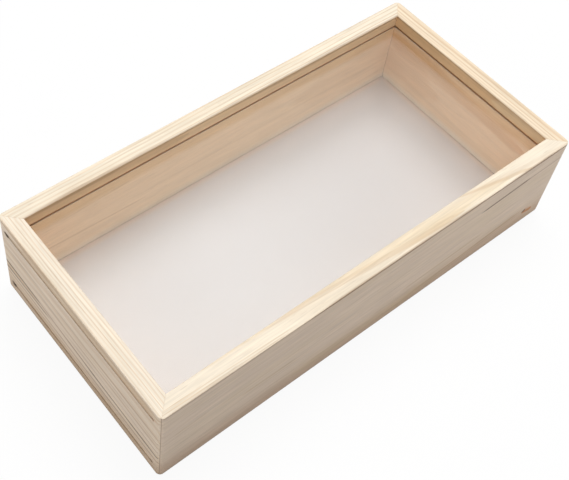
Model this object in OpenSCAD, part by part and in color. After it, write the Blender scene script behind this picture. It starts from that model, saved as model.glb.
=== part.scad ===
// Butterfly display case: a shallow box of four mitred pine boards with two clear panes.
// The panes lie in grooves near the top and the underside, and slide out through slots in the left end.
// Origin at the middle of the underside. X runs along the case, Z is up, and the slots are at -X.

/* [Case] */
// Outside length of the case, along X
case_l = 300; // [200:1:420]
// Outside width of the case, along Y
case_w = 148; // [110:1:260]
// Outside height of the case, along Z
case_h = 67; // [50:1:110]
// Thickness of the pine boards
board_t = 10.3; // [9:0.1:14]
// Radius of the four upright corners
corner_r = 3; // [1:0.5:4]
// Width of the small chamfers on the other edges of the boards
arris = 0.6; // [0.2:0.1:0.9]

/* [Grooves and panes] */
// Distance from the top or the underside to the middle of the nearest groove
groove_inset = 9.3; // [9.2:0.1:14]
// Height of each groove and of the slot that it leads to
groove_h = 2.6; // [2.6:0.1:4]
// Depth of each groove into the inner face of a board
groove_depth = 4.4; // [3:0.1:5]
// Thickness of each pane
pane_t = 2; // [1.5:0.1:2.2]
// Radius of the corners of each pane
pane_corner_r = 4; // [2:0.5:6]
// Gap under each pane and at its two long edges
pane_gap = 0.2; // [0.15:0.05:0.3]
// How far the outer end of each pane stands inside the mouth of its slot
pane_setback = 0.4; // [0.2:0.1:1]

/* [Corner nails] */
// Height of the V-nails in the underside of the mitres
nail_h = 5; // [3:0.5:5]
// Length of each leg of a V-nail
nail_leg = 4; // [3:0.5:4]
// Thickness of the steel strip of a V-nail
nail_t = 0.8; // [0.6:0.1:1]
// How far the V-nails are driven below the surface
nail_sunk = 0.3; // [0.2:0.1:0.5]

/* [Hidden] */
$fn = 64;

// Half sizes of the case and of the space inside the boards
half_l = case_l / 2;
half_w = case_w / 2;
inner_half_l = half_l - board_t;
inner_half_w = half_w - board_t;

// The lower outer edges are rounded a little less than the upright corners
lower_edge_r = corner_r * 5 / 6;

// The two groove levels, given by the underside of each groove
upper_groove_z = case_h - groove_inset - groove_h / 2;
lower_groove_z = groove_inset - groove_h / 2;

// The floor of the grooves, measured from the middle of the case
groove_half_l = inner_half_l + groove_depth;
groove_half_w = inner_half_w + groove_depth;

// Each pane, from the mouth of its slot to just short of the groove in the right end board
pane_x0 = -half_l + pane_setback;
pane_x1 = groove_half_l - pane_gap;
pane_half_w = groove_half_w - pane_gap;

// The tip of a V-nail lies on the mitre, this far in from both outer faces
nail_tip = board_t / 2 + nail_leg / 2;
nail_hook = 1.2;

// A cut that runs past the surface that it opens
past = 1;

pine = [0.96, 0.88, 0.76];
warm_pine = [0.93, 0.83, 0.69];
clear_sheet = [0.86, 0.9, 0.92, 0.35];
nail_steel = [0.62, 0.62, 0.64];

// The cross-section of a board, from its outer face inwards: square, with its arrises taken off and
// its lower outer edge rounded
module board_profile() {
    polygon([[0, lower_edge_r], [0, case_h - arris], [arris, case_h], [board_t - arris, case_h],
             [board_t, case_h - arris], [board_t, arris], [board_t - arris, 0], [lower_edge_r, 0]]);
    translate([lower_edge_r, lower_edge_r])
        circle(r = lower_edge_r);
}

// The half of a rounded upright corner that one board has: its outer layer, turned through 45 degrees
module corner_sector() {
    flat_r = corner_r - lower_edge_r;
    rotate_extrude(angle = 45)
        intersection() {
            union() {
                polygon([[0, 0], [flat_r, 0], [corner_r, lower_edge_r], [corner_r, case_h - arris],
                         [corner_r - arris, case_h], [0, case_h]]);
                translate([flat_r, lower_edge_r])
                    circle(r = lower_edge_r);
            }
            square([corner_r, case_h]);
        }
}

// One board along X with its outer face at -reach, cut at 45 degrees at both ends
module mitred_board(outer_l, reach) {
    core_half_l = outer_l / 2 - corner_r;
    cut_depth = board_t + past;
    cut_half_l = outer_l / 2 - cut_depth;
    translate([0, -reach, 0]) {
        intersection() {
            translate([-outer_l / 2, 0, 0])
                rotate([90, 0, 90])
                    linear_extrude(height = outer_l)
                        board_profile();
            translate([0, 0, -past])
                linear_extrude(height = case_h + 2 * past)
                    polygon([[-core_half_l, -past], [core_half_l, -past], [core_half_l, corner_r],
                             [cut_half_l, cut_depth], [-cut_half_l, cut_depth], [-core_half_l, corner_r]]);
        }
        for (side = [0, 1])
            mirror([side, 0, 0])
                translate([core_half_l, corner_r, 0])
                    rotate([0, 0, -90])
                        corner_sector();
    }
}

// The saw cut for one pane: a groove in three boards that runs out through the left end
module pane_cut(z) {
    translate([-half_l - past, -groove_half_w, z])
        cube([half_l + past + groove_half_l, 2 * groove_half_w, groove_h]);
}

// One V-nail from above, with its tip at the origin, its legs across the grain and its ends hooked
module v_nail_outline() {
    half_t = nail_t / 2;
    polygon([[half_t, half_t], [half_t, -nail_leg + nail_t], [nail_hook, -nail_leg + nail_t],
             [nail_hook, -nail_leg], [-half_t, -nail_leg], [-half_t, -half_t],
             [-nail_leg, -half_t], [-nail_leg, nail_hook], [-nail_leg + nail_t, nail_hook],
             [-nail_leg + nail_t, half_t]]);
}

// The four V-nails or, from the surface up, the slits that they are driven into
module v_nails(z0) {
    for (sx = [0, 1], sy = [0, 1])
        mirror([sx, 0, 0])
            mirror([0, sy, 0])
                translate([-half_l + nail_tip, -half_w + nail_tip, z0])
                    linear_extrude(height = nail_sunk + nail_h - z0)
                        v_nail_outline();
}

// A board as it is set in the case, turned about Z, less the grooves or slots and the nail slits
module fitted_board(turn, outer_l, reach) {
    difference() {
        rotate([0, 0, turn])
            mitred_board(outer_l, reach);
        pane_cut(upper_groove_z);
        pane_cut(lower_groove_z);
        v_nails(-past);
    }
}

module front_board() {
    color(warm_pine)
        fitted_board(0, case_l, half_w);
}

module back_board() {
    color(pine)
        fitted_board(180, case_l, half_w);
}

module left_end_board() {
    color(pine)
        fitted_board(-90, case_w, half_l);
}

module right_end_board() {
    color(pine)
        fitted_board(90, case_w, half_l);
}

// A flat sheet with round corners, lying just clear of the underside of its groove
module pane(groove_z) {
    straight_l = pane_x1 - pane_x0 - 2 * pane_corner_r;
    straight_half_w = pane_half_w - pane_corner_r;
    translate([pane_x0, -straight_half_w, groove_z + pane_gap])
        cube([pane_x1 - pane_x0, 2 * straight_half_w, pane_t]);
    translate([pane_x0 + pane_corner_r, -pane_half_w, groove_z + pane_gap])
        cube([straight_l, 2 * pane_half_w, pane_t]);
    for (x = [pane_x0 + pane_corner_r, pane_x1 - pane_corner_r], y = [-straight_half_w, straight_half_w])
        translate([x, y, groove_z + pane_gap])
            cylinder(r = pane_corner_r, h = pane_t);
}

module top_pane() {
    color(clear_sheet)
        pane(upper_groove_z);
}

module bottom_pane() {
    color(clear_sheet)
        pane(lower_groove_z);
}

module corner_v_nails() {
    color(nail_steel)
        v_nails(nail_sunk);
}

front_board();
back_board();
left_end_board();
right_end_board();
top_pane();
bottom_pane();
corner_v_nails();
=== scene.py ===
# Butterfly display case: a shallow box of four mitred pine boards, with an acrylic pane above and
# another below, each of which slides out through a slot in the left end. Metres, in the CAD frame.
import math

import bmesh
import bpy
from mathutils import Matrix, Vector, noise


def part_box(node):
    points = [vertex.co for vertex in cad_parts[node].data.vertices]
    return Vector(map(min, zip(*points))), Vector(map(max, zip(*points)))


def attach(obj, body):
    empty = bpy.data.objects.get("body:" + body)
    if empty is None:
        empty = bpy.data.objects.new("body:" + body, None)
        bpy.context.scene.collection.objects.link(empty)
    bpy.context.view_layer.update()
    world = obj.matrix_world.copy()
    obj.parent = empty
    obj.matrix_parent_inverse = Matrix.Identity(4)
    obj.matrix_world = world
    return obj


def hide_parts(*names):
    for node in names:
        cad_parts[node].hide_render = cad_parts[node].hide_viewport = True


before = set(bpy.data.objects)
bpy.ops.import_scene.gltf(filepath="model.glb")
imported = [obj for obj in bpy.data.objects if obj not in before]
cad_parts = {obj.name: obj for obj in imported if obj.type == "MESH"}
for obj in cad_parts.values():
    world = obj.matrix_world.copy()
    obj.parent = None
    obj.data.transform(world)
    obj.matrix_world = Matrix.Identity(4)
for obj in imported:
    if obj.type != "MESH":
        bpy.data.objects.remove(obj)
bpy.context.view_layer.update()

# Front board
# Planed and sanded pine, sawn nearly flat to its growth rings, so that one broad warm figure sweeps
# along its top edge and the face is plain. It is mitred, glued to the end boards and grooved inside
# for both panes.
MM = 0.001
front_low, front_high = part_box("front_board")
case_h = front_high.z
half_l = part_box("right_end_board")[1].x
half_w = -front_low.y
board_t = front_high.y - front_low.y
corner_r = 3 * MM
lower_edge_r = 2.5 * MM
arris_r = 0.45 * MM
arris_unevenness = 0.35
arris_waves = 35
groove_h = 2.6 * MM
groove_depth = 4.4 * MM
groove_lip_r = 0.15 * MM
pane_gap = 0.2 * MM
groove_starts = [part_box(name)[0].z - pane_gap for name in ("top_pane", "bottom_pane")]
mitre_ease = 0.06 * MM
section_gap = 4 * MM
corner_steps = 8
weld_gap = 0.002 * MM
nail_low, nail_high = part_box("corner_v_nails")
nail_leg = 4 * MM
nail_t = 0.8 * MM
nail_hook = 1.2 * MM
nail_tip = board_t / 2 + nail_leg / 2
slit_clearance = 0.06 * MM
off_mitre = 0.01 * MM


def rounded_outline(corners, steps=4):
    """The points of a closed outline of right-angled corners (x, y, radius), each rounded by its radius."""
    points = []
    for i, (x, y, radius) in enumerate(corners):
        corner = Vector((x, y))
        back = (Vector(corners[i - 1][:2]) - corner).normalized() * radius
        ahead = (Vector(corners[(i + 1) % len(corners)][:2]) - corner).normalized() * radius
        for step in range(steps + 1):
            turn = math.pi / 2 * step / steps
            points.append(corner + back * (1 - math.sin(turn)) + ahead * (1 - math.cos(turn)))
    return points


def board_outline(along, grooved, seed, inset=0.0):
    """A board's section at one place: (depth from the outer face, height), its arrises sanded unevenly."""
    worn = [arris_r * (1 + arris_unevenness * noise.noise((along * arris_waves, seed, 9 * i)))
            for i in range(3)]
    corners = [(inset, inset, lower_edge_r), (inset, case_h - inset, worn[0]),
               (board_t - inset, case_h - inset, worn[1])]
    for start in groove_starts if grooved else ():
        top, bottom = start + groove_h + inset, start - inset
        floor = board_t - groove_depth - inset
        corners += [(board_t - inset, top, groove_lip_r), (floor, top, groove_lip_r),
                    (floor, bottom, groove_lip_r), (board_t - inset, bottom, groove_lip_r)]
    return rounded_outline(corners + [(board_t - inset, inset, worn[2])])


def mitre_point(point, side, half_len, turn):
    """Where a point of the section lies at a mitred end, with the outer layer turned round the corner."""
    depth, height = point
    inner = max(depth, corner_r)
    out = max(corner_r - depth, 0)
    return Vector((side * (half_len - inner + out * math.sin(turn)), inner - out * math.cos(turn), height))


def board_mesh(half_len, grooved, seed):
    """A board from its outer face inwards (Y), lofted along X and mitred at both ends."""
    turns = [math.pi / 4 * step / corner_steps for step in range(corner_steps + 1)]
    eased = half_len - mitre_ease
    reach = half_len - board_t - MM
    count = math.ceil(2 * reach / section_gap)

    def end(side):
        section = board_outline(side * half_len, grooved, seed)
        loops = [[mitre_point(p, side, eased, turn) for p in section] for turn in turns]
        inner = board_outline(side * half_len, grooved, seed, mitre_ease)
        return loops + [[mitre_point(p, side, half_len, turns[-1]) for p in inner]]

    loops = end(-1)[::-1]
    for i in range(count + 1):
        along = reach * (2 * i / count - 1)
        loops.append([Vector((along, *p)) for p in board_outline(along, grooved, seed)])
    loops += end(1)
    board = bmesh.new()
    rows = [[board.verts.new(point) for point in loop] for loop in loops]
    for row, ahead in zip(rows, rows[1:]):
        for i in range(len(row)):
            board.faces.new((row[i - 1], row[i], ahead[i], ahead[i - 1]))
    board.faces.new(rows[0])
    board.faces.new(rows[-1])
    bmesh.ops.remove_doubles(board, verts=board.verts, dist=weld_gap)
    bmesh.ops.recalc_face_normals(board, faces=board.faces)
    return board


def v_nail_outline(grown=0.0):
    """One V-nail from above, with its tip at the origin, its legs along -X and -Y and their ends hooked."""
    side, end, inner = nail_t / 2 + grown, -nail_leg - grown, -nail_leg + nail_t + grown
    leg = [(side, inner), (nail_hook + grown, inner), (nail_hook + grown, end), (-side, end)]
    return [(side, side)] + leg + [(-side, -side)] + [(y, x) for x, y in reversed(leg)]


def prism(outline, low, high):
    """A closed solid that stands on an outline."""
    solid = bmesh.new()
    foot = [solid.verts.new((x, y, low)) for x, y in outline]
    head = [solid.verts.new((x, y, high)) for x, y in outline]
    for i in range(len(foot)):
        solid.faces.new((foot[i - 1], foot[i], head[i], head[i - 1]))
    solid.faces.new(foot)
    solid.faces.new(head)
    bmesh.ops.recalc_face_normals(solid, faces=solid.faces)
    return solid


def object_of(solid, name):
    """An object in the scene, made of a bmesh that is then let go."""
    mesh = bpy.data.meshes.new(name)
    solid.to_mesh(mesh)
    solid.free()
    made = bpy.data.objects.new(name, mesh)
    bpy.context.scene.collection.objects.link(made)
    return made


def nail_slits(half_len):
    """The cutters for the slits at both ends of a board, a hair wider than the nails, and set so that
    none of their edges lies in the mitre."""
    cutters = []
    for side in (-1, 1):
        slit = prism(v_nail_outline(slit_clearance), -MM, nail_high.z)
        place = Vector((-half_len + nail_tip, nail_tip + off_mitre, 0))
        for vert in slit.verts:
            vert.co = vert.co + place
            vert.co.x *= -side
        bmesh.ops.recalc_face_normals(slit, faces=slit.faces)
        cutters.append(object_of(slit, "slit_cutter"))
    return cutters


def cut(piece, cutters):
    """Takes the cutters out of the piece for good."""
    for cutter in cutters:
        saw = piece.modifiers.new("cut", "BOOLEAN")
        saw.object = cutter
        saw.solver = "EXACT"
    bpy.context.view_layer.update()
    whole = piece.evaluated_get(bpy.context.evaluated_depsgraph_get())
    mesh = bpy.data.meshes.new_from_object(whole)
    piece.modifiers.clear()
    piece.data = mesh
    for cutter in cutters:
        bpy.data.objects.remove(cutter)


def finish_edges(piece, sharp_angle):
    """Smooth shading between the sharp edges, and flat faces that stay flat beside their arrises."""
    piece.data.shade_smooth()
    piece.data.set_sharp_from_angle(angle=math.radians(sharp_angle))
    weighted = piece.modifiers.new("flat_faces", "WEIGHTED_NORMAL")
    weighted.keep_sharp = True


def put(tree, kind, inputs=None, **settings):
    """A shader node with its settings, and its inputs linked to sockets or set to values."""
    node = tree.nodes.new(kind if kind.startswith("Node") else "ShaderNode" + kind)
    for name, value in settings.items():
        setattr(node, name, value)
    for place, value in (inputs or {}).items():
        if isinstance(value, bpy.types.NodeSocket):
            tree.links.new(value, node.inputs[place])
        else:
            node.inputs[place].default_value = value
    return node


def calc(tree, operation, *terms, clamp=False):
    """One step of arithmetic."""
    return put(tree, "Math", dict(enumerate(terms)), operation=operation, use_clamp=clamp).outputs[0]


def vector_calc(tree, operation, *terms):
    """One step of vector arithmetic."""
    made = put(tree, "VectorMath", dict(enumerate(terms)), operation=operation)
    return made.outputs["Value" if operation in ("LENGTH", "DOT_PRODUCT", "DISTANCE") else "Vector"]


def ramp(tree, value, start, end, low=0.0, high=1.0):
    """A value eased from low to high as it goes from start to end."""
    return put(tree, "MapRange", {"Value": value, 1: start, 2: end, 3: low, 4: high},
               interpolation_type="SMOOTHSTEP").outputs[0]


def tint(tree, share, base, colour, blend="MIX"):
    """One colour laid over another by a share."""
    made = put(tree, "Mix", {0: share, 6: base, 7: colour}, data_type="RGBA", blend_type=blend)
    return made.outputs[2]


def shader_group(name, inputs, outputs):
    """An empty node group with its named sockets, and its input and output nodes."""
    tree = bpy.data.node_groups.new(name, "ShaderNodeTree")
    for in_out, sockets in (("INPUT", inputs), ("OUTPUT", outputs)):
        for socket, kind in sockets.items():
            tree.interface.new_socket(socket, in_out=in_out, socket_type="NodeSocket" + kind)
    return tree, put(tree, "NodeGroupInput").outputs, put(tree, "NodeGroupOutput").inputs


def make_growth_rings():
    """Late wood where the board's faces cut the rings of the log, which run round a leaning pith."""
    tree, given, out = shader_group(
        "growth_rings",
        {"Point": "Vector", "Pith": "Vector", "Lean": "Vector", "Ring Width": "Float",
         "Ring Start": "Float", "Wander": "Float"},
        {"Late Wood": "Float", "Ring Tone": "Float"})
    point = given["Point"]
    along = put(tree, "SeparateXYZ", {0: point}).outputs["X"]
    pith = vector_calc(tree, "ADD", given["Pith"], vector_calc(tree, "MULTIPLY", given["Lean"],
                       put(tree, "CombineXYZ", {0: along, 1: along, 2: along}).outputs[0]))
    bend = put(tree, "TexNoise", {"Vector": vector_calc(tree, "MULTIPLY", point, (8, 40, 40)),
                                  "Scale": 1.0, "Detail": 2.0}).outputs["Color"]
    bend = put(tree, "VectorMath", {0: vector_calc(tree, "SUBTRACT", bend, (0.5, 0.5, 0.5)),
                                    "Scale": given["Wander"]}, operation="SCALE").outputs[0]
    offset = vector_calc(tree, "ADD", vector_calc(tree, "SUBTRACT", point, pith), bend)
    radius = vector_calc(tree, "LENGTH", vector_calc(tree, "MULTIPLY", offset, (0, 1, 1)))
    count = calc(tree, "ADD", calc(tree, "DIVIDE", radius, given["Ring Width"]), given["Ring Start"])
    uneven = put(tree, "TexNoise", {"W": count, "Scale": 0.45, "Detail": 1.0},
                 noise_dimensions="1D").outputs["Fac"]
    count = calc(tree, "ADD", count, uneven)
    year = calc(tree, "FRACT", count)
    tone = put(tree, "TexWhiteNoise", {"W": calc(tree, "FLOOR", count)},
               noise_dimensions="1D").outputs["Value"]
    late = calc(tree, "MULTIPLY", ramp(tree, year, 0.4, 0.92), ramp(tree, year, 0.93, 1.0, 1.0, 0.0))
    strength = ramp(tree, tone, 0.0, 1.0, 0.45, 1.0)
    tree.links.new(calc(tree, "MULTIPLY", late, strength), out["Late Wood"])
    tree.links.new(tone, out["Ring Tone"])
    return tree


def make_wood_fibres():
    """Fine streaks along the board, and broad soft changes of tone."""
    tree, given, out = shader_group("wood_fibres", {"Point": "Vector"},
                                    {"Fibre": "Float", "Pore": "Float", "Tone": "Float", "Figure": "Float"})

    def streaks(along, across, detail, rough=0.5):
        place = vector_calc(tree, "MULTIPLY", given["Point"], (along, across, across))
        return put(tree, "TexNoise", {"Vector": place, "Scale": 1.0, "Detail": detail,
                                      "Roughness": rough}).outputs["Fac"]

    fibre = calc(tree, "ADD", calc(tree, "MULTIPLY", streaks(22, 900, 2.0), 0.6),
                 calc(tree, "MULTIPLY", streaks(70, 2600, 1.0), 0.4))
    tree.links.new(fibre, out["Fibre"])
    tree.links.new(ramp(tree, streaks(160, 1500, 0.0), 0.72, 0.84), out["Pore"])
    tree.links.new(streaks(7, 55, 3.0, 0.6), out["Tone"])
    tree.links.new(streaks(34, 230, 2.0, 0.6), out["Figure"])
    return tree


def make_wood_streak():
    """A dark or warm streak along a straight line through the board, tapered and a little ragged."""
    tree, given, out = shader_group(
        "wood_streak", {"Point": "Vector", "Start": "Vector", "End": "Vector", "Half Width": "Float"},
        {"Streak": "Float"})
    line = vector_calc(tree, "SUBTRACT", given["End"], given["Start"])
    from_start = vector_calc(tree, "SUBTRACT", given["Point"], given["Start"])
    share = calc(tree, "DIVIDE", vector_calc(tree, "DOT_PRODUCT", from_start, line),
                 vector_calc(tree, "DOT_PRODUCT", line, line), clamp=True)
    nearest = put(tree, "VectorMath", {0: line, "Scale": share}, operation="SCALE").outputs[0]
    ragged = put(tree, "TexNoise", {"Vector": vector_calc(tree, "MULTIPLY", given["Point"], (20, 160, 160)),
                                    "Scale": 1.0, "Detail": 2.0}).outputs["Fac"]
    width = calc(tree, "MULTIPLY", given["Half Width"], ramp(tree, ragged, 0.25, 0.75, 0.55, 1.45))
    taper = calc(tree, "MULTIPLY", ramp(tree, share, 0.0, 0.12, 0.25, 1.0),
                 ramp(tree, share, 0.88, 1.0, 1.0, 0.25))
    away = vector_calc(tree, "DISTANCE", from_start, nearest)
    depth = calc(tree, "DIVIDE", away, calc(tree, "MULTIPLY", width, taper))
    tree.links.new(ramp(tree, depth, 0.2, 1.0, 1.0, 0.0), out["Streak"])
    return tree


def make_board_edges():
    """Masks for the parts of a board: its edges, inner face, arrises, mitres and saw cuts, its lower
    parts, and how far along it and up its inner face a point lies."""
    tree, given, out = shader_group(
        "board_edges", {"Point": "Vector", "Half Length": "Float"},
        {"Narrow Edge": "Float", "Inner Face": "Float", "Arris": "Float", "Mitre": "Float",
         "Low Outside Shade": "Float", "Shaded Low Edge": "Float", "Saw Cut And Groove Shade": "Float", "Along": "Float",
         "Height": "Float", "Above Pane": "Float", "Foot": "Float"})
    x, y, z = put(tree, "SeparateXYZ", {0: given["Point"]}).outputs
    to_face = calc(tree, "MINIMUM", y, calc(tree, "SUBTRACT", board_t, y))
    to_rim = calc(tree, "MINIMUM", z, calc(tree, "SUBTRACT", case_h, z))
    foot_end = 18 * MM
    arris_reach = 1.6 * MM
    narrow = ramp(tree, to_rim, 0.05 * MM, 0.4 * MM, 1.0, 0.0)
    within = ramp(tree, y, 1 * MM, 1.4 * MM)
    inner = ramp(tree, y, board_t - 1.8 * MM, board_t - 0.9 * MM)
    tree.links.new(narrow, out["Narrow Edge"])
    tree.links.new(inner, out["Inner Face"])
    sawn = calc(tree, "SUBTRACT", within, inner, clamp=True)
    sawn = calc(tree, "SUBTRACT", sawn, narrow, clamp=True)
    # The upper groove just inside its mouth joins the saw cuts, so that it is darkened there as painted
    # shade.
    deep = ramp(tree, y, board_t - 0.6 * MM, board_t - 0.4 * MM, 0.8, 0.0)
    from_middle = calc(tree, "ABSOLUTE", calc(tree, "SUBTRACT", z, groove_starts[0] + groove_h / 2))
    groove = ramp(tree, from_middle, groove_h / 2 + 0.03 * MM, groove_h / 2 + 0.08 * MM, 1.0, 0.0)
    groove = calc(tree, "MULTIPLY", groove, within)
    tree.links.new(calc(tree, "MAXIMUM", sawn, calc(tree, "MULTIPLY", groove, deep)), out["Saw Cut And Groove Shade"])
    # Where the inner face gets painted light: just above the lower pane and in the upper groove.
    foot = ramp(tree, z, groove_starts[1] + groove_h, foot_end, 1.0, 0.0)
    tree.links.new(calc(tree, "MAXIMUM", foot, groove), out["Foot"])
    # The arrises, which are darkened a little as painted edge shade.
    to_arris = calc(tree, "MAXIMUM", to_face, to_rim)
    uneven = put(tree, "TexNoise", {"Vector": given["Point"], "Scale": 260.0, "Detail": 2.0}).outputs["Fac"]
    reach = calc(tree, "MULTIPLY", uneven, arris_reach)
    tree.links.new(ramp(tree, calc(tree, "DIVIDE", to_arris, reach), 0.3, 1.0, 1.0, 0.0), out["Arris"])
    to_mitre = calc(tree, "SUBTRACT", calc(tree, "SUBTRACT", given["Half Length"],
                                           calc(tree, "ABSOLUTE", x)), y)
    tree.links.new(ramp(tree, to_mitre, 0.1 * MM, 0.45 * MM, 1.0, 0.0), out["Mitre"])
    # The lower outer face, which is darkened there as painted shade.
    outside = ramp(tree, y, 1 * MM, 4 * MM, 1.0, 0.0)
    low_down = ramp(tree, z, 4 * MM, 24 * MM, 1.0, 0.0)
    tree.links.new(calc(tree, "MULTIPLY", outside, low_down), out["Low Outside Shade"])
    # The lower edge, which is greyed as painted shade.
    tree.links.new(ramp(tree, z, 1.2 * MM, 4.5 * MM, 1.0, 0.0), out["Shaded Low Edge"])
    tree.links.new(ramp(tree, z, 14 * MM, 50 * MM), out["Height"])
    tree.links.new(ramp(tree, z, groove_starts[0], groove_starts[0] + groove_h), out["Above Pane"])
    along = calc(tree, "DIVIDE", x, calc(tree, "MULTIPLY", given["Half Length"], 2.0))
    tree.links.new(calc(tree, "ADD", along, 0.5), out["Along"])
    return tree


growth_rings = make_growth_rings()
wood_fibres = make_wood_fibres()
wood_streak = make_wood_streak()
board_edges = make_board_edges()
# Late wood colour, also laid on the arrises as painted edge shade.
late_wood_and_edge_shade = (0.70, 0.48, 0.29, 1)
warm_wood = (0.88, 0.71, 0.48, 1)
tan_wood = (0.66, 0.45, 0.25, 1)
# Resin brown for pores and grain lines, and for painted shade lines under the top arrises.
resin_brown_and_edge_shade = (0.33, 0.19, 0.11, 1)
knot_orange = (0.72, 0.30, 0.08, 1)
# Painted shade along the lower edge of every face.
painted_shade_grey = (0.36, 0.31, 0.26, 1)
# The saw cuts' own brown, which also paints the upper groove mouth dark as shade.
sawn_brown_and_groove_shade = (0.72, 0.28, 0.06, 1)
glue_line = (0.30, 0.20, 0.13, 1)
dark_line = (0.20, 0.12, 0.07, 1)
# Painted light for the inner face low down and at the mouth of the upper groove.
painted_light_low_inside = (1.0, 0.86, 0.70, 1)
inside_unseen = ((0.98, 0.75, 0.52, 1), (0.98, 0.73, 0.50, 1), (0.95, 0.70, 0.46, 1))


def pine(name, half_len, growth, contrast, edge_tone, outer_tone_and_shade, inner_tones_and_shade, drift, low_painted_shade, streaks):
    """Sanded pine for one board. Growth is how its rings lie, and contrast how strongly they show. The
    outer tone and the inner tones, low down, high up and above the upper pane, hold painted light and
    shade besides the wood's colour. Drift is painted shade, the brightness at its two ends. Each streak
    is a start, an end and a half width in mm, a strength and a colour."""
    material = bpy.data.materials.new(name)
    material.use_nodes = True
    tree = material.node_tree
    tree.nodes.clear()
    point = put(tree, "TexCoord").outputs["Object"]
    rings = put(tree, "Group", node_tree=growth_rings)
    for socket, value in growth.items():
        rings.inputs[socket].default_value = value
    fibres = put(tree, "Group", node_tree=wood_fibres)
    edges = put(tree, "Group", node_tree=board_edges)
    edges.inputs["Half Length"].default_value = half_len
    for group in (rings, fibres, edges):
        tree.links.new(point, group.inputs["Point"])
    part = edges.outputs
    late, fibre, tone = rings.outputs["Late Wood"], fibres.outputs["Fibre"], fibres.outputs["Tone"]
    # Face tones with painted light and shade: outer faces darker than the top edges, inner faces warmer,
    # lighter low down and darker above the upper pane.
    low_inside, high_inside, above_pane = inner_tones_and_shade
    inner_tone = tint(tree, part["Height"], low_inside, high_inside)
    inner_tone = tint(tree, part["Above Pane"], inner_tone, above_pane)
    # Painted light: the inner face is lightened just above the lower pane and in the upper groove.
    inner_tone = tint(tree, part["Foot"], inner_tone, painted_light_low_inside)
    colour = tint(tree, part["Inner Face"], outer_tone_and_shade, inner_tone)
    colour = tint(tree, part["Narrow Edge"], colour, edge_tone)
    colour = tint(tree, ramp(tree, tone, 0.4, 0.75, 0.0, 0.35), colour, warm_wood)
    marked = ramp(tree, part["Inner Face"], 0.0, 1.0, contrast, contrast * 0.22)
    colour = tint(tree, calc(tree, "MULTIPLY", late, marked), colour, late_wood_and_edge_shade)
    # Sawn faces take their own brown, and the upper groove mouth is darkened with it as painted shade.
    colour = tint(tree, calc(tree, "MULTIPLY", part["Saw Cut And Groove Shade"], 0.9), colour, sawn_brown_and_groove_shade)
    for start, end, half_width, strength, streak_colour in streaks:
        streak = put(tree, "Group", node_tree=wood_streak)
        tree.links.new(point, streak.inputs["Point"])
        streak.inputs["Start"].default_value = Vector(start) * MM
        streak.inputs["End"].default_value = Vector(end) * MM
        streak.inputs["Half Width"].default_value = half_width * MM
        colour = tint(tree, calc(tree, "MULTIPLY", streak.outputs[0], strength), colour, streak_colour)
    # Painted shade: the outer face darkens towards the bottom.
    colour = tint(tree, part["Low Outside Shade"], colour, low_painted_shade, "MULTIPLY")
    # Painted shade along the board: drift darkens it towards one end, except on its narrow edges.
    drifted = calc(tree, "MAXIMUM", ramp(tree, part["Along"], 0.0, 1.0, *drift), part["Narrow Edge"])
    figure = ramp(tree, fibres.outputs["Figure"], 0.3, 0.7, 0.97, 1.03)
    drifted = calc(tree, "MULTIPLY", drifted, figure)
    spread = ramp(tree, part["Inner Face"], 0.0, 1.0, 1.0, 0.4)
    seen_fibre = calc(tree, "MULTIPLY_ADD", calc(tree, "SUBTRACT", fibre, 0.5), spread, 0.5)
    shade = calc(tree, "MULTIPLY", ramp(tree, seen_fibre, 0.25, 0.75, 0.86, 1.07), drifted)
    shades = put(tree, "CombineXYZ", {i: shade for i in range(3)}).outputs[0]
    colour = vector_calc(tree, "MULTIPLY", colour, shades)
    faces = calc(tree, "MAXIMUM", part["Narrow Edge"], calc(tree, "MULTIPLY", part["Inner Face"], 0.6))
    mitre = calc(tree, "MULTIPLY", part["Mitre"], ramp(tree, faces, 0.0, 1.0, 0.7, 0.08))
    # Pores and glued mitres are the wood's own marks; the darkened arrises are painted edge shade and the
    # grey lower edge is painted shade.
    for share, mark, mark_colour in ((0.15, fibres.outputs["Pore"], resin_brown_and_edge_shade),
                                     (0.15, part["Arris"], late_wood_and_edge_shade),
                                     (0.5, part["Shaded Low Edge"], painted_shade_grey), (1.0, mitre, glue_line)):
        colour = tint(tree, calc(tree, "MULTIPLY", mark, share), colour, mark_colour)
    height = calc(tree, "ADD", calc(tree, "MULTIPLY", fibre, 0.5), calc(tree, "MULTIPLY", late, 0.35))
    bump = put(tree, "Bump", {"Strength": 0.35, "Distance": 0.12 * MM, "Height": height})
    gloss = calc(tree, "SUBTRACT", ramp(tree, fibre, 0.2, 0.8, 0.72, 0.56),
                 calc(tree, "MULTIPLY", late, 0.08))
    wood = put(tree, "BsdfPrincipled", {"Base Color": colour, "Roughness": gloss,
                                        "Specular IOR Level": 0.3, "Normal": bump.outputs[0]})
    put(tree, "OutputMaterial", {"Surface": wood.outputs[0]})
    return material


def fit_board(node, turn, half_len, reach, material, seed, slots=()):
    """Makes one board, grooved unless slots are sawn through it, and stands it at its side of the case."""
    board = object_of(board_mesh(half_len, not slots, seed), node + "_pine")
    cut(board, [*slots, *nail_slits(half_len)])
    finish_edges(board, sharp_angle=30)
    board.data.materials.clear()
    board.data.materials.append(material)
    board.rotation_euler.z = math.radians(turn)
    board.location = Matrix.Rotation(math.radians(turn), 3, "Z") @ Vector((0, -reach, 0))
    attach(board, "case")
    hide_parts(node)


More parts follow.
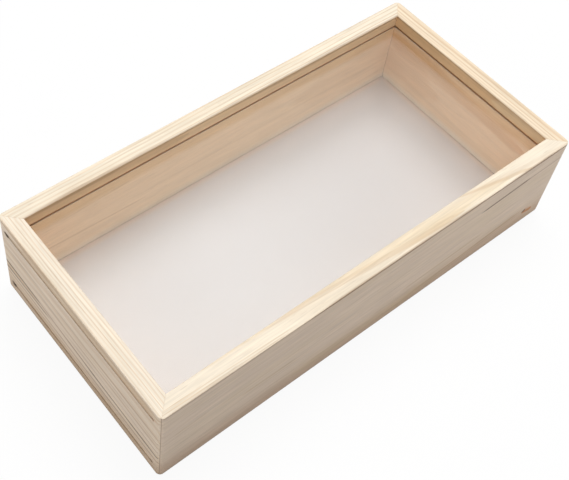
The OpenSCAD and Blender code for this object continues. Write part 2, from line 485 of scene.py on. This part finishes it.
front_pine = pine(
    "front_board_pine", half_l,
    growth={"Pith": (0, -20 * MM, 124 * MM), "Lean": (0, 0, 0.036), "Ring Width": 5 * MM,
            "Ring Start": 0.2, "Wander": 5 * MM},
    contrast=0.18, edge_tone=(0.97, 0.86, 0.70, 1), outer_tone_and_shade=(0.94, 0.765, 0.61, 1),
    inner_tones_and_shade=inside_unseen, drift=(0.87, 1.02),
    low_painted_shade=(0.80, 0.72, 0.65, 1),
    streaks=[((-75, 12, 67), (66, 3.2, 67), 3.8, 0.45, warm_wood),
             ((0, 11, 67), (98, 3, 67), 5.5, 0.45, warm_wood),
             ((-76, 10.6, 67), (60, 2.0, 67), 2.2, 0.3, tan_wood),
             ((-84, 9.7, 67), (54, 0.7, 67), 1.0, 0.3, tan_wood),
             ((64, 10.2, 67), (116, 0.4, 67), 1.5, 0.4, tan_wood),
             ((-120, 10.2, 67), (-70, 9.4, 67), 1.4, 0.4, warm_wood),
             ((-146, 3.6, 67), (-64, 1.8, 67), 0.5, 0.4, tan_wood),
             ((-150, 1.9, 67), (-70, 0.7, 67), 0.45, 0.4, tan_wood),
             # Painted shade lines under the top arris.
             ((-60, 0, 66.2), (155, 0, 66.1), 1.2, 0.8, resin_brown_and_edge_shade),
             ((-155, 0, 66.2), (-40, 0, 66.2), 1.2, 0.35, resin_brown_and_edge_shade),
             ((78, 0, 52.3), (120, 0, 54.6), 0.9, 1.0, dark_line),
             ((108, 0, 54), (150, 0, 55.5), 0.6, 0.45, resin_brown_and_edge_shade),
             ((130, 0, 12.6), (139, 0, 10.5), 3.8, 0.8, knot_orange),
             ((129.5, 0, 13), (132.5, 0, 13.8), 1.9, 1.0, dark_line),
             ((25, 0, 9), (128, 0, 16.5), 1.8, 0.6, tan_wood),
             ((60, 0, 9), (128, 0, 13), 1.0, 0.5, tan_wood),
             ((20, 0, 22), (90, 0, 23.5), 1.2, 0.4, tan_wood),
             ((-97, 0, 31.5), (-60, 0, 31), 1.0, 0.45, tan_wood),
             ((-142, 0, 40), (-120, 0, 40.5), 0.8, 0.4, tan_wood),
             ((-60, 0, 12), (60, 0, 8), 6, 0.45, warm_wood)])
fit_board("front_board", turn=0, half_len=half_l, reach=half_w, material=front_pine, seed=1.0)

# Back board
# The same board as the front one, but sawn square to its rings, so that its top edge shows them as
# fine straight lines and its inner face as quiet stripes. It is mitred, glued and grooved alike.
warm_brown_and_corner_shade = (0.75, 0.42, 0.18, 1)
outside_unseen = (0.95, 0.80, 0.63, 1)
# Painted shade for the lower outer faces that are not seen.
low_painted_shade_unseen = (0.9, 0.86, 0.82, 1)
back_pine = pine(
    "back_board_pine", half_l,
    growth={"Pith": (0, -85 * MM, 30 * MM), "Lean": (0, 0.004, 0.01), "Ring Width": 2.4 * MM,
            "Ring Start": 0.35, "Wander": 3 * MM},
    contrast=0.75, edge_tone=(0.97, 0.865, 0.70, 1), outer_tone_and_shade=outside_unseen,
    inner_tones_and_shade=((0.99, 0.775, 0.55, 1), (0.985, 0.74, 0.50, 1), (0.975, 0.72, 0.46, 1)),
    drift=(0.97, 1.0), low_painted_shade=low_painted_shade_unseen,
    streaks=[((30, 10.3, 63.5), (145, 10.3, 63.5), 6, 0.4, tan_wood),
             ((60, 10.3, 25), (145, 10.3, 28), 1.3, 0.45, tan_wood),
             ((-140, 10.3, 29), (70, 10.3, 31), 1.6, 0.12, tan_wood),
             ((70, 10.3, 49), (120, 10.3, 46), 0.8, 0.3, tan_wood),
             # A broad warm patch towards the right end, painted shade in the corner.
             ((-60, 10.3, 36), (-200, 10.3, 38), 24, 0.14, warm_brown_and_corner_shade),
             # Painted shade line under the top inner arris.
             ((-170, 10.3, 66.6), (170, 10.3, 66.6), 2.4, 0.45, resin_brown_and_edge_shade)])
fit_board("back_board", turn=180, half_len=half_l, reach=half_w, material=back_pine, seed=2.0)

# Right end board
# Short pine board with lines as fine as the back one's on its top edge, a soft brown streak on its
# inner face and painted shade towards its back corner. The inner ends of both panes lie in its grooves.
right_pine = pine(
    "right_end_board_pine", half_w,
    growth={"Pith": (0, -70 * MM, 42 * MM), "Lean": (0, 0.003, 0.02), "Ring Width": 2.5 * MM,
            "Ring Start": 0.6, "Wander": 2.5 * MM},
    contrast=0.85, edge_tone=(0.95, 0.80, 0.61, 1), outer_tone_and_shade=outside_unseen,
    inner_tones_and_shade=((0.965, 0.70, 0.46, 1), (0.965, 0.695, 0.465, 1), (0.84, 0.55, 0.29, 1)),
    drift=(1.0, 0.86), low_painted_shade=low_painted_shade_unseen,
    streaks=[((-58, 10.3, 43), (70, 10.3, 49.5), 9.5, 0.5, warm_brown_and_corner_shade),
             # A broad warm patch at the back, painted shade in the corner.
             ((20, 10.3, 30), (130, 10.3, 34), 24, 0.25, warm_brown_and_corner_shade),
             # Painted shade line under the top inner arris.
             ((-90, 10.3, 66.6), (90, 10.3, 66.6), 2.0, 0.4, resin_brown_and_edge_shade),
             ((-80, 10.3, 63), (-22, 10.3, 63), 6, 0.5, warm_wood),
             ((-40, 10.3, 64.3), (50, 10.3, 63.8), 1.2, 0.35, tan_wood)])
fit_board("right_end_board", turn=90, half_len=half_w, reach=half_l, material=right_pine, seed=3.0)

# Left end board
# Short pine board with a slot sawn right through it at each groove, where the panes go in and come
# out. Its outer face shows long brown growth lines, and the back end of each slot is painted dark as shade.
slot_half_l = half_w - board_t + groove_depth
slot_flare = 0.25 * MM
# Painted shade at the back end of each slot.
slot_end_painted_shade = (0.07, 0.045, 0.03, 1)
dark_from_end = 1.8
dark_half_width = 2.9
dark_at = dark_from_end - slot_half_l / MM
slot_middles = [(start + groove_h / 2) / MM for start in groove_starts]


def slot_cutters():
    """The saw cuts for both panes, from the outer face to the inner one, with their mouths eased."""
    cutters = []
    sections = [(-MM, MM + slot_flare), (slot_flare, 0), (board_t - slot_flare, 0),
                (board_t + MM, MM + slot_flare)]
    for start in groove_starts:
        saw = bmesh.new()
        rows = []
        for depth, flare in sections:
            ends = (-slot_half_l - flare, slot_half_l + flare)
            low, high = start - flare, start + groove_h + flare
            corners = ((ends[0], low), (ends[1], low), (ends[1], high), (ends[0], high))
            rows.append([saw.verts.new((x, depth, z)) for x, z in corners])
        for row, ahead in zip(rows, rows[1:]):
            for i in range(4):
                saw.faces.new((row[i - 1], row[i], ahead[i], ahead[i - 1]))
        saw.faces.new(rows[0])
        saw.faces.new(rows[-1])
        bmesh.ops.recalc_face_normals(saw, faces=saw.faces)
        cutters.append(object_of(saw, "slot_cutter"))
    return cutters


left_pine = pine(
    "left_end_board_pine", half_w,
    growth={"Pith": (0, 100 * MM, 66 * MM), "Lean": (0, 0.003, -0.018), "Ring Width": 1.9 * MM,
            "Ring Start": 0.1, "Wander": 2.4 * MM},
    contrast=0.6, edge_tone=(0.975, 0.875, 0.73, 1), outer_tone_and_shade=(0.95, 0.79, 0.63, 1),
    inner_tones_and_shade=inside_unseen, drift=(1.0, 0.95),
    low_painted_shade=(0.82, 0.76, 0.70, 1),
    streaks=[((-76, 0, 28.3), (-34, 0, 26.5), 1.2, 0.9, dark_line),
             ((-76, 0, 22.8), (-28, 0, 23), 1.2, 0.8, dark_line),
             ((-76, 0, 25.5), (-40, 0, 25), 2.2, 0.4, tan_wood),
             ((-40, 0, 26.8), (22, 0, 22.8), 1.1, 0.8, resin_brown_and_edge_shade),
             ((6, 0, 23.2), (80, 0, 21), 0.95, 1.0, dark_line),
             ((-70, 0, 43.8), (76, 0, 42), 1.2, 0.35, resin_brown_and_edge_shade),
             ((-40, 0, 35.5), (76, 0, 33), 0.9, 0.3, resin_brown_and_edge_shade),
             ((-76, 0, 19.5), (10, 0, 17.5), 0.8, 0.45, resin_brown_and_edge_shade),
             ((-16, 0, 30), (80, 0, 27.5), 0.8, 0.45, resin_brown_and_edge_shade),
             ((-6, 0, 38.5), (80, 0, 37), 0.7, 0.35, resin_brown_and_edge_shade),
             ((2, 0, 17.4), (80, 0, 15.6), 0.8, 0.5, resin_brown_and_edge_shade),
             ((-76, 0, 14), (30, 0, 13), 0.9, 0.35, late_wood_and_edge_shade),
             ((-76, 0, 65), (78, 0, 63.6), 2.6, 0.6, tan_wood),
             ((-64, 0, 60), (78, 0, 60.3), 3.2, 0.45, tan_wood),
             ((30, 0, 58.8), (72, 0, 58.9), 1.4, 0.6, knot_orange),
             ((-64, 0, 9), (70, 0, 9), 3.0, 0.4, tan_wood),
             ((-40, 0, 4.6), (80, 0, 4.2), 3.5, 0.4, tan_wood)]
    + [((dark_at, -3, z), (dark_at, 12, z), dark_half_width, 1.0, slot_end_painted_shade) for z in slot_middles])
fit_board("left_end_board", turn=-90, half_len=half_w, reach=half_l, material=left_pine, seed=4.0,
          slots=slot_cutters())

# Corner V-nails
# Four small V-shaped strips of bare steel, one pressed into the underside of each glued mitre. The
# photograph doesn't show them, and they can only be seen from below.
nail_edge_r = 0.12 * MM
bare_steel = (0.62, 0.62, 0.64, 1)
dulled_steel = (0.36, 0.34, 0.33, 1)


def steel():
    """Drawn strip steel with faint lines along it and a few dull spots."""
    material = bpy.data.materials.new("nail_steel")
    material.use_nodes = True
    tree = material.node_tree
    tree.nodes.clear()
    point = put(tree, "TexCoord").outputs["Object"]
    drawn = put(tree, "TexNoise", {"Vector": vector_calc(tree, "MULTIPLY", point, (900, 900, 9000)),
                                   "Scale": 1.0, "Detail": 2.0}).outputs["Fac"]
    dull = put(tree, "TexNoise", {"Vector": point, "Scale": 1400.0, "Detail": 3.0}).outputs["Fac"]
    spots = ramp(tree, dull, 0.5, 0.7)
    colour = tint(tree, calc(tree, "MULTIPLY", spots, 0.5), bare_steel, dulled_steel)
    gloss = calc(tree, "ADD", ramp(tree, drawn, 0.3, 0.7, 0.26, 0.4), calc(tree, "MULTIPLY", spots, 0.2))
    bump = put(tree, "Bump", {"Strength": 0.3, "Distance": 0.02 * MM, "Height": drawn})
    metal = put(tree, "BsdfPrincipled", {"Base Color": colour, "Metallic": 1.0, "Roughness": gloss,
                                         "Normal": bump.outputs[0]})
    put(tree, "OutputMaterial", {"Surface": metal.outputs[0]})
    return material


def v_nails():
    """All four nails in one mesh, with their edges eased."""
    nails = bmesh.new()
    for side_x in (-1, 1):
        for side_y in (-1, 1):
            nail = prism(v_nail_outline(), nail_low.z, nail_high.z)
            bmesh.ops.bevel(nail, geom=nail.edges, offset=nail_edge_r, segments=2, profile=0.5,
                            affect="EDGES")
            place = Vector((-half_l + nail_tip, -half_w + nail_tip, 0))
            for vert in nail.verts:
                vert.co = vert.co + place
                vert.co.x *= -side_x
                vert.co.y *= -side_y
            mesh = bpy.data.meshes.new("nail")
            nail.to_mesh(mesh)
            nail.free()
            nails.from_mesh(mesh)
            bpy.data.meshes.remove(mesh)
    bmesh.ops.recalc_face_normals(nails, faces=nails.faces)
    return nails


nail_strips = object_of(v_nails(), "corner_v_nail_strips")
finish_edges(nail_strips, sharp_angle=35)
nail_strips.data.materials.append(steel())
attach(nail_strips, "case")
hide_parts("corner_v_nails")

# Top pane
# Clear acrylic sheet 2 mm thick with rounded corners and sawn edges, lying loose in the upper groove.
# It slides out to the left to open the case.
pane_corner_r = 4 * MM
pane_edge_r = 0.15 * MM
pane_corner_steps = 10
acrylic_ior = 1.49
let_through_share = 0.25
milk_thrown_back = (0.93, 0.92, 0.91, 1)
milk_let_through = (0.9, 0.9, 0.9, 1)


def pane_mesh(node):
    """A sheet in the place of a CAD pane, with round corners and eased edges."""
    low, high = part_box(node)
    corners = [(low.x, low.y, pane_corner_r), (high.x, low.y, pane_corner_r),
               (high.x, high.y, pane_corner_r), (low.x, high.y, pane_corner_r)]
    sheet = prism(rounded_outline(corners, pane_corner_steps), low.z, high.z)
    rim = [edge for edge in sheet.edges if abs(edge.verts[0].co.z - edge.verts[1].co.z) < 0.1 * MM]
    bmesh.ops.bevel(sheet, geom=rim, offset=pane_edge_r, segments=2, profile=0.5, affect="EDGES")
    for face in sheet.faces:
        face.material_index = 0 if abs(face.normal.z) > 0.99 else 1
    return sheet


def acrylic(name, colour, body, haze, shadow_colour, milk=0.0, glow=0.0, shaded=None):
    """Acrylic sheet that light passes on its way to the boards, and milky for the light it throws back.
    Shaded makes a colour that changes over the sheet and takes the place of the plain one. Glow makes
    it shine a little, a painted light."""
    material = bpy.data.materials.new(name)
    material.use_nodes = True
    tree = material.node_tree
    tree.nodes.clear()
    point = put(tree, "TexCoord").outputs["Object"]
    wiped = put(tree, "TexNoise", {"Vector": vector_calc(tree, "MULTIPLY", point, (14, 30, 1)),
                                   "Scale": 1.0, "Detail": 4.0, "Distortion": 0.6}).outputs["Fac"]
    gloss = ramp(tree, wiped, 0.3, 0.75, haze, haze * 1.6 + 0.01)
    base = shaded(tree) if shaded else colour
    sheet = put(tree, "BsdfPrincipled", {"Base Color": base, "Roughness": gloss, "IOR": acrylic_ior,
                                         "Transmission Weight": body, "Emission Color": colour,
                                         "Emission Strength": glow})
    rays = put(tree, "LightPath").outputs
    clear = put(tree, "BsdfTransparent", {"Color": shadow_colour}).outputs[0]
    back = put(tree, "BsdfDiffuse", {"Color": milk_thrown_back}).outputs[0]
    through = put(tree, "BsdfTranslucent", {"Color": milk_let_through}).outputs[0]
    matt = put(tree, "MixShader", {0: let_through_share, 1: back, 2: through}).outputs[0]
    thrown = put(tree, "MixShader", {0: milk, 1: clear, 2: matt}).outputs[0]
    both = put(tree, "MixShader", {0: rays["Is Diffuse Ray"], 1: sheet.outputs[0], 2: thrown}).outputs[0]
    both = put(tree, "MixShader", {0: rays["Is Shadow Ray"], 1: both, 2: clear})
    put(tree, "OutputMaterial", {"Surface": both.outputs[0]})
    return material


def fit_pane(node, body, face_material, edge_material):
    """Makes one pane and hangs it on its sliding body."""
    pane = object_of(pane_mesh(node), node + "_sheet")
    finish_edges(pane, sharp_angle=35)
    pane.data.materials.append(face_material)
    pane.data.materials.append(edge_material)
    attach(pane, body)
    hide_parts(node)


clear_face = acrylic("clear_acrylic", colour=(0.985, 0.99, 0.99, 1), body=1.0, haze=0.01,
                     shadow_colour=(0.95, 0.95, 0.95, 1))
# Its sawn edges are painted brown, a painted reflection of the shaded wood round them, and glow a little as
# painted light.
sawn_edge_shade_and_glow = acrylic("sawn_acrylic_edge", colour=(0.60, 0.42, 0.25, 1), body=0.2, haze=0.5,
                    shadow_colour=(0.8, 0.8, 0.8, 1), glow=0.05)
fit_pane("top_pane", "upper_pane", clear_face, sawn_edge_shade_and_glow)

# Bottom pane
# The same sheet in the lower groove. It looks milky in the photograph: the floor shows through it
# evenly, and the boards' lower edges fade out in it.
# The sheet's colour holds painted shade towards the right and painted warm light near the walls.
milky_left = (0.83, 0.815, 0.81, 1)
milky_painted_shade_right = (0.735, 0.71, 0.70, 1)
milky_painted_light_near_wall = (0.88, 0.83, 0.81, 1)
milky_painted_light_rim = (1.0, 0.85, 0.74, 1)
darkens_from = -70 * MM
darkens_to = 80 * MM


def painted_wall_light_and_shade(tree):
    """The milky sheet's colour by where it lies, with painted light and shade: painted shade to the right
    of the case, lighter and warm with painted light from the walls near them, and plain once it is drawn
    out."""
    place = put(tree, "NewGeometry").outputs["Position"]
    x, y, _ = put(tree, "SeparateXYZ", {0: vector_calc(tree, "ABSOLUTE", place)}).outputs
    to_wall = calc(tree, "MINIMUM", calc(tree, "SUBTRACT", half_l - board_t, x),
                   calc(tree, "SUBTRACT", half_w - board_t, y))
    along = put(tree, "SeparateXYZ", {0: place}).outputs["X"]
    inside = ramp(tree, along, -half_l, board_t - half_l)
    colour = tint(tree, ramp(tree, along, darkens_from, darkens_to), milky_left, milky_painted_shade_right)
    for start, end, share, nearer in ((3 * MM, 20 * MM, 0.8, milky_painted_light_near_wall),
                                      (0.0, 5 * MM, 1.0, milky_painted_light_rim)):
        near = calc(tree, "MULTIPLY", ramp(tree, to_wall, start, end, share, 0.0), inside)
        colour = tint(tree, near, colour, nearer)
    return colour


hazy_face = acrylic("hazy_acrylic", colour=(0.80, 0.77, 0.755, 1), body=0.2, haze=0.3,
                    shadow_colour=(0.93, 0.93, 0.93, 1), milk=0.9, shaded=painted_wall_light_and_shade)
fit_pane("bottom_pane", "lower_pane", hazy_face, sawn_edge_shade_and_glow)

# Studio
# A plain white floor, one large soft light overhead, a weak one at the left and a white surround,
# seen by the camera, by gloss and through the panes, which lights the case only weakly.
floor_half = 4.0
floor_t = 20 * MM
floor_gap = 0.02 * MM
floor_corners = [(-floor_half, -floor_half), (floor_half, -floor_half), (floor_half, floor_half),
                 (-floor_half, floor_half)]
floor = object_of(prism(floor_corners, -floor_t, -floor_gap), "floor")


def seen_directly(tree):
    """1 for rays of the camera, of gloss and through glass, and 0 for light that falls on the boards."""
    rays = put(tree, "LightPath").outputs
    return calc(tree, "MAXIMUM", rays["Is Camera Ray"],
                calc(tree, "MAXIMUM", rays["Is Glossy Ray"], rays["Is Transmission Ray"]))


floor_paint = bpy.data.materials.new("floor_white")
floor_paint.use_nodes = True
floor_tree = floor_paint.node_tree
floor_tree.nodes.clear()
seen = seen_directly(floor_tree)
floor_as_lit = (0.6, 0.6, 0.6, 1)
floor_as_seen = (0.95, 0.95, 0.95, 1)
paint = tint(floor_tree, seen, floor_as_lit, floor_as_seen)
matt = put(floor_tree, "BsdfDiffuse", {"Color": paint})
glow = put(floor_tree, "Emission", {"Color": (1, 1, 1, 1), "Strength": 1.0})
glow_share = calc(floor_tree, "MULTIPLY", seen, 0.92)
floor_mix = put(floor_tree, "MixShader", {0: glow_share, 1: matt.outputs[0], 2: glow.outputs[0]})
put(floor_tree, "OutputMaterial", {"Surface": floor_mix.outputs[0]})
floor.data.materials.append(floor_paint)

world = bpy.data.worlds.new("studio")
bpy.context.scene.world = world
world.use_nodes = True
world_tree = world.node_tree
world_tree.nodes.clear()
fill_level = 0.4
surround = ramp(world_tree, seen_directly(world_tree), 0.0, 1.0, fill_level, 1.0)
sky = put(world_tree, "Background", {"Color": (1, 1, 1, 1), "Strength": surround})
put(world_tree, "OutputWorld", {"Surface": sky.outputs[0]})


def soft_box(name, size, place, aim, power):
    """A square soft light that faces a point."""
    lamp = bpy.data.lights.new(name, "AREA")
    lamp.shape = "SQUARE"
    lamp.size = size
    lamp.energy = power
    made = bpy.data.objects.new(name, lamp)
    bpy.context.scene.collection.objects.link(made)
    made.location = place
    made.rotation_mode = "QUATERNION"
    made.rotation_quaternion = (Vector(aim) - Vector(place)).to_track_quat("-Z", "Y")
    made.visible_camera = False
    made.visible_glossy = False
    made.visible_transmission = False


soft_box("overhead", size=2.2, place=(0.9, 0.7, 2.7), aim=(0, 0, 0), power=64)
soft_box("left_fill", size=1.5, place=(-2.5, -0.6, 1.2), aim=(0, 0, 0), power=11)

# Camera
# The photograph was taken from above the front left corner, and the case fills its frame to the
# edges. The lens is a short telephoto, and the shift is the crop of the picture.
azimuth = math.radians(43.94)
elevation = math.radians(51.44)
roll = math.radians(6.79)
aim = Vector((0.006, 0.0575, 0))
distance = 0.6749
ahead = Vector((math.sin(azimuth) * math.cos(elevation), math.cos(azimuth) * math.cos(elevation),
                -math.sin(elevation)))
level = Vector((math.cos(azimuth), -math.sin(azimuth), 0))
right = level * math.cos(roll) + level.cross(ahead) * math.sin(roll)
lens = bpy.data.cameras.new("camera")
lens.sensor_width = 36
lens.lens = 66.72
lens.shift_x = 0.087
lens.shift_y = -0.1054
lens.clip_start = 0.02
camera = bpy.data.objects.new("camera", lens)
bpy.context.scene.collection.objects.link(camera)
turned = Matrix((right, right.cross(ahead), -ahead)).transposed()
camera.matrix_world = Matrix.Translation(aim - ahead * distance) @ turned.to_4x4()
bpy.context.scene.camera = camera
bpy.context.scene.view_settings.view_transform = "Standard"
